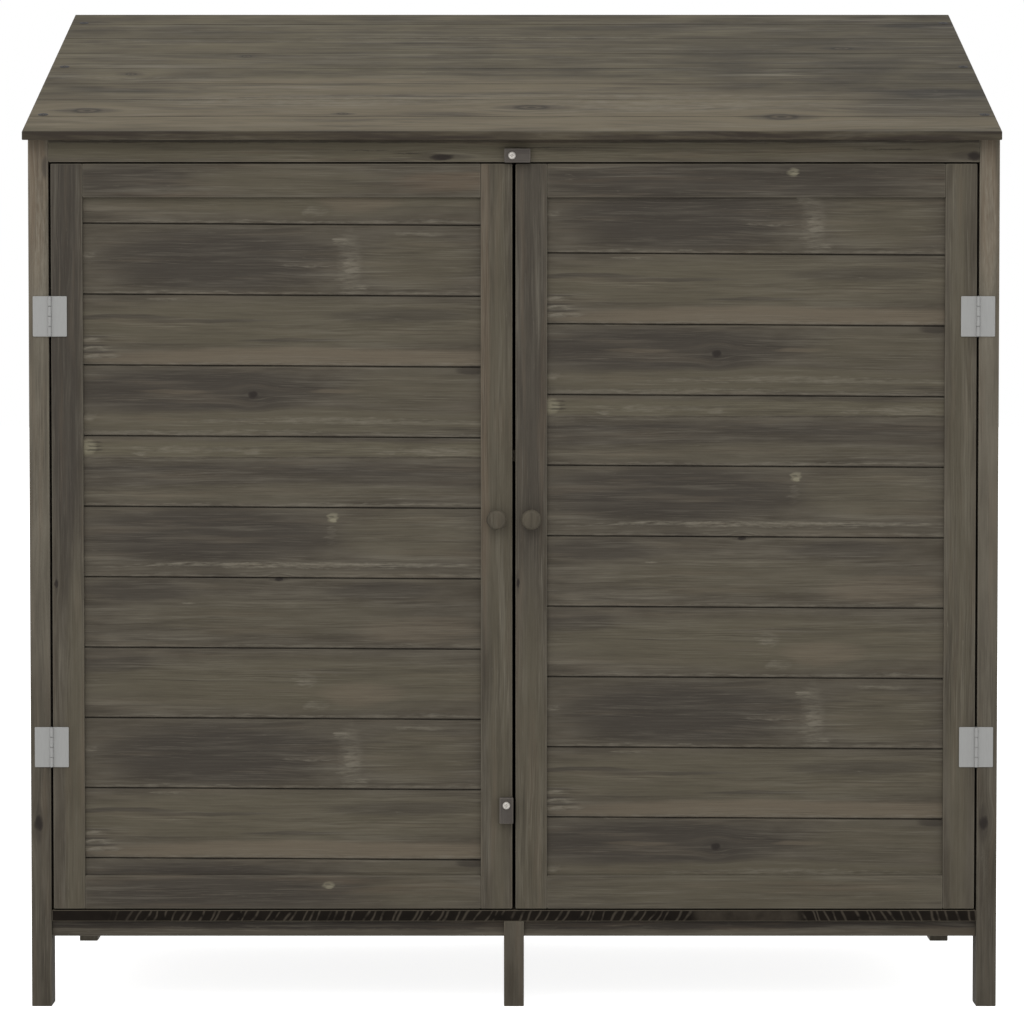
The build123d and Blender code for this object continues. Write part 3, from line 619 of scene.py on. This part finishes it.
def boardRow(name, body, nodes, spec, look):
    piece = newPiece(name)
    addTree(piece, rowTree, spec)
    ease(piece, spec["ease"])
    settle(piece)
    if "cutAt" in spec:  # cuts the boards off along the slope of the roof
        shape = bmesh.new()
        shape.from_mesh(piece.data)
        whole = shape.verts[:] + shape.edges[:] + shape.faces[:]
        made = bmesh.ops.bisect_plane(shape, geom=whole, plane_co=spec["cutAt"], plane_no=(0, -roofRise, 1),
                                      clear_outer=True)["geom_cut"]
        bmesh.ops.holes_fill(shape, edges=[part for part in made if isinstance(part, bmesh.types.BMEdge)])
        fill(piece, shape)
    piece.data.shade_flat()
    markTimber(piece, spec["Along"], spec["grainAcross"], {**look, "shade": tongueShade})
    finishPiece(piece, body, nodes)


def block(x, y, z):
    return [Vector((i, j, k)) for i in x for j in y for k in z]


# A block whose top follows the roof, and its underside too when z is None
def roofedBlock(x, y, z, deep=33 * mm / roofLean):
    points = []
    for i in x:
        for j in y:
            low = underRoof(j) - deep if z is None else z
            points += [Vector((i, j, low)), Vector((i, j, underRoof(j)))]
    return points


def timber(node, body, material, along, across, blocks, look):
    shape = bmesh.new()
    for points in blocks:
        made = bmesh.ops.convex_hull(shape, input=[shape.verts.new(point) for point in points])["geom"]
        faces = [part for part in made if isinstance(part, bmesh.types.BMFace)]
        bmesh.ops.recalc_face_normals(shape, faces=faces)
    bmesh.ops.dissolve_limit(shape, angle_limit=flatWithin, verts=shape.verts, edges=shape.edges)
    piece = newPiece(node + "_timber")
    fill(piece, shape)
    piece.data.materials.append(material)
    ease(piece, timberEase)
    settle(piece)
    markTimber(piece, along, across, look)
    finishPiece(piece, body, [node])


def frameTimber(node, along, across, points, look, body="carcass"):
    timber(node, body, frameFir, along, across, [points], look)


def innerTimber(node, along, blocks, look):
    timber(node, "carcass", insideFir, along, alongX, blocks, look)


def extent(node):
    low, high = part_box(node)
    return (low.x, high.x), (low.y, high.y), (low.z, high.z)


def mid(pair):
    return (pair[0] + pair[1]) / 2


def span(pair):
    return pair[1] - pair[0]


# Grain with no place on a sheet
def plain(seed, spread=0.04, **more):
    return {"seed": seed, "spread": spread, **more}


# The piece's own strip of the frame sheet, from the low end of its grain and its edge
def onSheet(node, low, seed, **more):
    start = np.array([low[0], low[1] - frameSheet[node] * mm, 0])
    return {"seed": seed, "spread": 0.03, "sheet": start, **more}


# Posts, rails and feet. Tones run from the low end of the grain to its high end
frameTones = {"post": (0.86, 1.36), "header": (1.12, 1.12), "foot": (0.9, 0.9)}
for end in ("front", "rear"):
    for side in sides:
        node = f"{end}_{side}_post"
        x, y, z = extent(node)
        look = plain(20 + len(node), 0.05, tones=frameTones["post"])
        if node in frameSheet:
            look = onSheet(node, (0, x[0]), 7, tones=frameTones["post"])
        frameTimber(node, alongZ, alongX, roofedBlock(x, y, z[0]), look)
    node = f"{end}_top_rail"
    x, y, z = extent(node)
    look = plain(31)
    if node in frameSheet:
        look = onSheet(node, (innerX[0], -z[1]), 8, tones=frameTones["header"])
    frameTimber(node, alongX, downZ, roofedBlock(innerX, y, z[0]), look)
    node = f"{end}_bottom_rail"
    x, y, z = extent(node)
    look = onSheet(node, (innerX[0], -z[1]), 9) if node in frameSheet else plain(32)
    frameTimber(node, alongX, downZ, block(innerX, y, z), look)
    node = f"{end}_centre_foot"
    frameTimber(node, alongZ, alongX, block(*extent(node)), plain(33, tones=frameTones["foot"]))
for side in sides:
    node = f"{side}_top_rail"
    x, y, z = extent(node)
    frameTimber(node, upSlope, alongX, roofedBlock(x, innerY, None), plain(34 + len(side)))
    node = f"{side}_bottom_rail"
    x, y, z = extent(node)
    frameTimber(node, alongY, downZ, block(x, innerY, z), plain(44 + len(side)))
x, y, z = extent("roof_rafter")
innerTimber("roof_rafter", upSlope, [roofedBlock(x, y, None)], plain(51))
stripWide = 20 * mm  # bearers and battens
for node, shares, seed in (("floor_bearers", (0, 0.5, 1), 52), ("shelf_battens", (0, 1), 53)):
    x, y, z = extent(node)
    starts = [x[0] + share * (span(x) - stripWide) for share in shares]
    strips = [block((start, start + stripWide), y, z) for start in starts]
    innerTimber(node, alongY, strips, plain(seed, 0.05))
print("posts, rails and feet made")


# Counts the boards that fill a width, the last one cut to what is left
def rowSpec(origin, length, whole, first, pitch, gap, least=15 * mm, **more):
    spec = {"Length": length, "Pitch": pitch, "Gap": gap, "Tongue": tongueSize, "Thickness": boardThick,
            "Shear": (0.0, 0.0, 0.0), "Step": downZ, "Along": alongX, "Across": alongZ, "Through": alongY,
            "grainAcross": downZ, "ease": 0.5 * mm, **more}
    count = int((whole - first - least) // pitch) + 2
    start = Vector(origin) - Vector(spec["Step"]) * (gap / 2)
    spec.update({"Origin": tuple(start), "Count": count, "First": first + gap / 2,
                 "Last": whole + gap / 2 - first - (count - 2) * pitch})
    return spec


# Doors: two stiles and two rails round a recessed panel of boards whose seams fall a little to the right
doorSpec = {"rail": 35 * mm, "into": 2 * mm, "fall": -0.006,
            "topBoard": {"left": 27.8 * mm, "right": 58.7 * mm}}  # height of each panel's top board
for side in sides:
    body = f"{side}_door"
    stiles = sorted([extent(f"{side}_door_hinge_stile"), extent(f"{side}_door_lock_stile")])
    opening = (stiles[0][0][1], stiles[1][0][0])
    for part in ("hinge", "lock"):
        node = f"{side}_door_{part}_stile"
        x, y, z = extent(node)
        frameTimber(node, alongZ, alongX, block(x, y, z), onSheet(node, (z[0], x[0]), 11), body)
    for part in ("top", "bottom"):
        node = f"{side}_door_{part}_rail"
        x, y, z = extent(node)
        look = onSheet(node, (opening[0], -z[1]), 12)
        frameTimber(node, alongX, downZ, block(opening, y, z), look, body)
    x, y, z = extent(f"{side}_door_boards")
    low, high = stiles[0][2]
    top, bottom = high - doorSpec["rail"], low + doorSpec["rail"]
    into, topBoard = doorSpec["into"], doorSpec["topBoard"][side]
    firstTop = top - topBoard + (boardPitch if side == "right" else 0)  # top of the sheet's first board
    spec = rowSpec((mid(x), y[0] + boardThick / 2, top + into), span(opening) + 2 * into,
                   top - bottom + 2 * into, topBoard + into, boardPitch, boardGap,
                   Shear=(doorSpec["fall"], 0, 0), Finish=panelFir)
    look = {"seed": 13, "spread": 0.03, "sheet": np.array([opening[0], -firstTop, y[0]]),
            "repeat": sheetRows * boardPitch}
    boardRow(f"{side}_door_panel", body, [f"{side}_door_boards"], spec, look)
print("doors made")

# Walls: boarded like the doors, let into the frame, and the side walls cut off under the roof
wall = {"drop": 20 * mm, "into": 4 * mm, "topBoard": 58 * mm, "look": {"spread": 0.08, "scatter": True}}
for side in sides:
    x, y, z = extent(f"{side}_side_boards")
    top = underRoof(innerY[1]) - wall["drop"]
    spec = rowSpec((mid(x), mid(innerY), top), span(innerY) + wall["into"], top - z[0], wall["topBoard"],
                   boardPitch, boardGap, Along=alongY, Through=alongX, Finish=panelFir,
                   cutAt=(0, 0, underRoof(0) - wall["drop"]))
    boardRow(f"{side}_wall", "carcass", [f"{side}_side_boards"], spec,
             {"seed": 61 + len(side), **wall["look"]})
x, y, z = extent("back_boards")
spec = rowSpec((mid(x), mid(y), z[1] + wall["into"]), span(innerX) + wall["into"], span(z) + wall["into"],
               wall["topBoard"], boardPitch, boardGap, Finish=panelFir)
boardRow("back_wall", "carcass", ["back_boards"], spec, {"seed": 71, **wall["look"]})

# Floor and shelf: flat boards with open seams
flat = {"Step": alongY, "Across": alongY, "Through": alongZ, "grainAcross": alongY}
decks = {"floor": {"first": 79.5 * mm, "pitch": 80 * mm, "gap": 1.0 * mm, "finish": sawnEdge,
                   "slot": "sawn_wood", "look": plain(81)},
         "shelf": {"first": 90 * mm, "pitch": 92 * mm, "gap": 4.0 * mm, "finish": insideFir,
                   "slot": "inner_wood", "look": plain(82, 0.05)}}
for name, deck in decks.items():
    x, y, z = extent(f"{name}_boards")
    spec = rowSpec((mid(x), y[0], mid(z)), span(x), span(y), deck["first"], deck["pitch"], deck["gap"],
                   Finish=deck["finish"], Thickness=span(z), Tongue=0.0, **flat)
    boardRow(f"{name}_deck", "carcass", [f"{name}_boards"], spec, deck["look"])

# Roof: boards laid side to side, the seams tight
roofSpec = {"first": 62.7 * mm, "pitch": 71.1 * mm, "gap": 0.4 * mm, "ease": 0.8 * mm}
spec = rowSpec((0, roofLow.y, roofLow.z + roofEdge / 2), roofHigh.x - roofLow.x, roofHigh.y - roofLow.y,
               roofSpec["first"] * roofLean, roofSpec["pitch"] * roofLean, roofSpec["gap"],
               Finish=roofFir, Thickness=roofEdge, Shear=(0, roofRise, 0), ease=roofSpec["ease"],
               **{**flat, "grainAcross": upSlope})
frontEdge = roofLow.y * roofLean + (roofLow.z + roofEdge) * roofLean * roofRise  # measured up the slope
look = {"seed": 91, "spread": 0.03, "sheet": np.array([roofLow.x, frontEdge, 0])}
boardRow("roof_deck", "carcass", ["roof_boards"], spec, look)
print("walls, floor, shelf and roof made")


# Turns a profile of (radius, height) in millimetres round Z; dent(radius, angle) sinks points for a recess
def lathe(name, profile, segments, dent=None, sharpFrom=40):
    shape = bmesh.new()
    rings = []
    for radius, height in profile:
        ring = []
        for step in range(segments if radius > 0 else 1):
            angle = 2 * math.pi * step / segments
            sink = dent(radius, angle) if dent and height >= 0 else 0
            point = (radius * math.cos(angle) * mm, radius * math.sin(angle) * mm, (height - sink) * mm)
            ring.append(shape.verts.new(point))
        rings.append(ring)
    for low, high in zip(rings, rings[1:]):
        for step in range(segments):
            around = ((low, step), (low, step + 1), (high, step + 1), (high, step))
            corners = [ring[place % len(ring)] for ring, place in around]
            shape.faces.new(list(dict.fromkeys(corners)))
    bmesh.ops.recalc_face_normals(shape, faces=shape.faces)
    for face in shape.faces:
        face.smooth = True
    piece = newPiece(name)
    fill(piece, shape)
    piece.data.set_sharp_from_angle(angle=math.radians(sharpFrom))
    return piece


# Depth of a cross recess in a screw head, in millimetres
def crossRecess(radius, angle, deep=0.9, reach=1.9, halfSlot=0.42):
    near = abs(math.remainder(angle, math.pi / 2)) * radius
    return deep if radius < reach and near < halfSlot else 0.0


heads = {
    "round": lathe("roundHead", [
        (0, 2.4), (0.4, 2.4), (0.9, 2.38), (1.4, 2.34), (1.8, 2.28), (2.0, 2.24), (2.6, 2.05), (3.2, 1.65),
        (3.7, 1.1), (3.95, 0.5), (4.0, 0.0), (1.95, -0.01), (1.95, -2.0), (0, -2.0)], 48, crossRecess),
    "flush": lathe("flushHead", [(0, 0), (2.5, -0.02), (2.7, -0.15), (1.5, -1.2), (0, -1.2)], 48),
    "wide": lathe("wideHead", [
        *((radius, 0.35) for radius in (0, 0.4, 0.9, 1.4, 1.8, 2.0, 4.6)), (5.3, 0.2), (5.5, 0.0),
        (2.0, -3.2), (0, -3.2)], 48, crossRecess),
}


# A small part repeated at some places
def repeated(name, part, turn, finish, places):
    piece = newPiece(name)
    piece.data.from_pydata(places, [], [])
    addTree(piece, repeatTree, {"Part": part, "Turn": turn, "Finish": finish})
    settle(piece)
    return piece


def screws(node, body, head, finish, turn, places):
    piece = repeated(node + "_heads", heads[head], turn, finish, places)
    finishPiece(piece, body, [node])


upright = (0.0, 0.0, 0.0)
facingFront = (math.radians(90), 0, 0)
facingBack = (math.radians(-90), 0, 0)
hinge = {"levels": (272.95 * mm, 722.9 * mm), "screw": 12 * mm, "axisY": -241.5 * mm, "knuckle": 10.5 * mm,
         "knuckles": 4, "thick": 1.2 * mm, "fromAxis": 1.2 * mm, "corner": 1.0 * mm, "ease": 0.2 * mm}
barrel = lathe("barrel", [(0, -5.1), (1.6, -5.1), (2.0, -4.8), (2.0, 4.8), (1.6, 5.1), (0, 5.1)], 28)
pinTip = lathe("pinTip", [(0, -21.2), (0.8, -21.2), (1.0, -21.0), (1.0, 21.0), (0.8, 21.2), (0, 21.2)], 20)


# A pressed plate with its rolled knuckles, every other one along the pin
def hingeLeaf(node, body, axisX, first, near=1e-5):
    low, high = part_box(node)
    outer = low.x if abs(low.x - axisX) > abs(high.x - axisX) else high.x
    inner = axisX + math.copysign(hinge["fromAxis"], outer - axisX)
    points = block((inner, outer), (high.y - hinge["thick"], high.y), (low.z, high.z))
    plate = newPiece(node + "_plate")
    shape = bmesh.new()
    bmesh.ops.convex_hull(shape, input=[shape.verts.new(point) for point in points])
    bmesh.ops.dissolve_limit(shape, angle_limit=flatWithin, verts=shape.verts, edges=shape.edges)
    bmesh.ops.recalc_face_normals(shape, faces=shape.faces)
    corners = [edge for edge in shape.edges if all(abs(v.co.x - outer) < near for v in edge.verts)
               and abs(edge.verts[0].co.z - edge.verts[1].co.z) < near]
    bmesh.ops.bevel(shape, geom=corners, offset=hinge["corner"], segments=4, profile=0.5, affect="EDGES")
    fill(plate, shape)
    plate.data.materials.append(hingeZinc)
    ease(plate, hinge["ease"])
    settle(plate)
    places = []
    for row in range(first, hinge["knuckles"], 2):
        places.append((axisX, hinge["axisY"], low.z + hinge["knuckle"] * (row + 0.5)))
    rows = repeated(node + "_knuckles", barrel, upright, hingeZinc, places)
    shape = bmesh.new()
    shape.from_mesh(plate.data)
    shape.from_mesh(rows.data)
    fill(plate, shape)
    bpy.data.objects.remove(rows)
    finishPiece(plate, body, [node])


for side in sides:
    axisX = mid(extent(f"{side}_hinge_pins")[0])
    for level in ("upper", "lower"):
        hingeLeaf(f"{level}_{side}_post_leaf", "carcass", axisX, 0)
        hingeLeaf(f"{level}_{side}_door_leaf", f"{side}_door", axisX, 1)
    pins = repeated(f"{side}_hinge_pins_turned", pinTip, upright, hingeZinc,
                    [(axisX, hinge["axisY"], z) for z in hinge["levels"]])
    finishPiece(pins, "carcass", [f"{side}_hinge_pins"])
    for part, body in (("post", "carcass"), ("door", f"{side}_door")):
        node = f"{side}_{part}_leaf_screws"
        x, y, z = extent(node)
        places = [(mid(x), y[0], level + rise) for level in hinge["levels"]
                  for rise in (-hinge["screw"], hinge["screw"])]
        screws(node, body, "flush", hingeZinc, facingFront, places)
print("hinges made")


# The middle of a node's box as seen from the front, at a given depth
def frontPoint(node, y):
    x, _, z = extent(node)
    return mid(x), y, mid(z)


# Knobs and turn buttons
knobProfile = [(0, 0), (7.3, 0), (7.5, 0.3), (7.5, 2.4), (7.1, 3.0), (6.2, 3.6), (6.0, 4.6), (6.2, 5.6),
               (7.4, 6.3), (9.2, 6.9), (10.1, 7.9), (10.5, 9.4), (10.45, 11.2), (10.0, 13.0), (9.0, 14.5),
               (7.3, 15.4), (4.5, 15.85), (2.0, 15.97), (0, 16.0)]
for side in sides:
    node, body = f"{side}_knob", f"{side}_door"
    knob = lathe(node + "_turned", knobProfile, 56)
    seat = Vector(frontPoint(node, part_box(node)[1].y))
    knob.data.transform(Matrix.Translation(seat) @ Matrix.Rotation(math.radians(90), 4, "X"))
    knob.data.materials.append(turnedFir)
    markTimber(knob, alongZ, alongX, plain(101 + len(side), 0.0))
    finishPiece(knob, body, [node])
    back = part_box(f"{side}_door_lock_stile")[1].y
    screws(f"{side}_knob_screw", body, "round", screwZinc, facingBack,
           [frontPoint(f"{side}_knob_screw", back)])
for node, along, across, body in (("top_button", alongX, alongZ, "carcass"),
                                  ("lower_button", alongZ, alongX, "left_door")):
    timber(node, node, buttonFir, along, across, [block(*extent(node))],
           plain(111, 0.0))
    screws(f"{node}_screw", body, "round", screwZinc, facingFront,
           [frontPoint(f"{node}_screw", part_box(node)[0].y)])

# Roof screws, a little behind every third seam near both sides
roofScrew = {"inset": 5.5 * mm, "behind": 7 * mm, "seams": (0, 3, 6)}
low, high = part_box("roof_screws")
rows = [roofLow.y + (roofSpec["first"] + k * roofSpec["pitch"]) * roofLean + roofScrew["behind"]
        for k in roofScrew["seams"]]
columns = (low.x + roofScrew["inset"], high.x - roofScrew["inset"])
places = [(x, y, underRoof(y) + roofEdge) for x in columns for y in rows]
screws("roof_screws", "carcass", "wide", darkSteel, (math.atan(roofRise), 0, 0), places)
for part in (*heads.values(), barrel, pinTip):
    bpy.data.objects.remove(part)
print("knobs, buttons and screws made")

# Camera at the photograph's place
view = {"lens": 140.1, "sensor": 36, "back": 4.3945, "height": 0.691, "pitch": 2.37}
camera = bpy.data.objects.new("camera", bpy.data.cameras.new("camera"))
camera.data.lens = view["lens"]
camera.data.sensor_width = view["sensor"]
camera.location = (0, -view["back"], view["height"])
camera.rotation_euler = (math.radians(90 - view["pitch"]), 0, 0)
bpy.context.scene.collection.objects.link(camera)
bpy.context.scene.camera = camera


# The rays that show the background as white: from the camera, and through gloss and glass
def directlySeen(add):
    path = add("LightPath", out=None)
    seen = path["Is Camera Ray"]
    for ray in ("Is Glossy Ray", "Is Transmission Ray"):
        seen = add("Math MAXIMUM", {0: seen, 1: path[ray]})
    return seen


# Pale floor, white where it is seen, with the shadow kept, and soft light all round
studio = {"floorSize": 60, "floorTone": 0.8, "floorGlow": 0.88, "skyStrength": 0.78, "lampSize": 2.5,
          "lampPower": 36, "lampPlace": (-0.8, -3.0, 3.2), "lampAim": (0, 0, 0.6)}
white = (1, 1, 1, 1)
bpy.ops.mesh.primitive_plane_add(size=studio["floorSize"], location=(0, 0, 0))
floor = bpy.context.object
floor.name = "floor"
floorMaterial, add = newMaterial("palePaper")
paper = add("BsdfDiffuse", {"Color": [studio["floorTone"]] * 3 + [1]})
lift = add("Math MULTIPLY", {0: directlySeen(add), 1: studio["floorGlow"]})
glow = add("Emission", {"Color": white, "Strength": lift})
both = add("AddShader", {0: paper, 1: glow})
under = add("NewGeometry", out="Backfacing")
clear = add("BsdfTransparent")
paper = add("MixShader", {0: under, 1: both, 2: clear})
add("OutputMaterial", {"Surface": paper})
floor.data.materials.append(floorMaterial)

world = bpy.data.worlds.new("softStudio")
bpy.context.scene.world = world
world.use_nodes = True
world.node_tree.nodes.clear()
add = partial(addNode, world.node_tree)
strength = add("MapRange", {"Value": directlySeen(add), "To Min": studio["skyStrength"]})
sky = add("Background", {"Color": white, "Strength": strength})
add("OutputWorld", {"Surface": sky})

lamp = bpy.data.objects.new("softbox", bpy.data.lights.new("softbox", "AREA"))
lamp.data.size = studio["lampSize"]
lamp.data.energy = studio["lampPower"]
lamp.location = studio["lampPlace"]
aim = Vector(studio["lampAim"]) - lamp.location
lamp.rotation_euler = aim.to_track_quat("-Z", "Y").to_euler()
bpy.context.scene.collection.objects.link(lamp)

bpy.context.scene.view_settings.view_transform = "Standard"
print("scene ready")
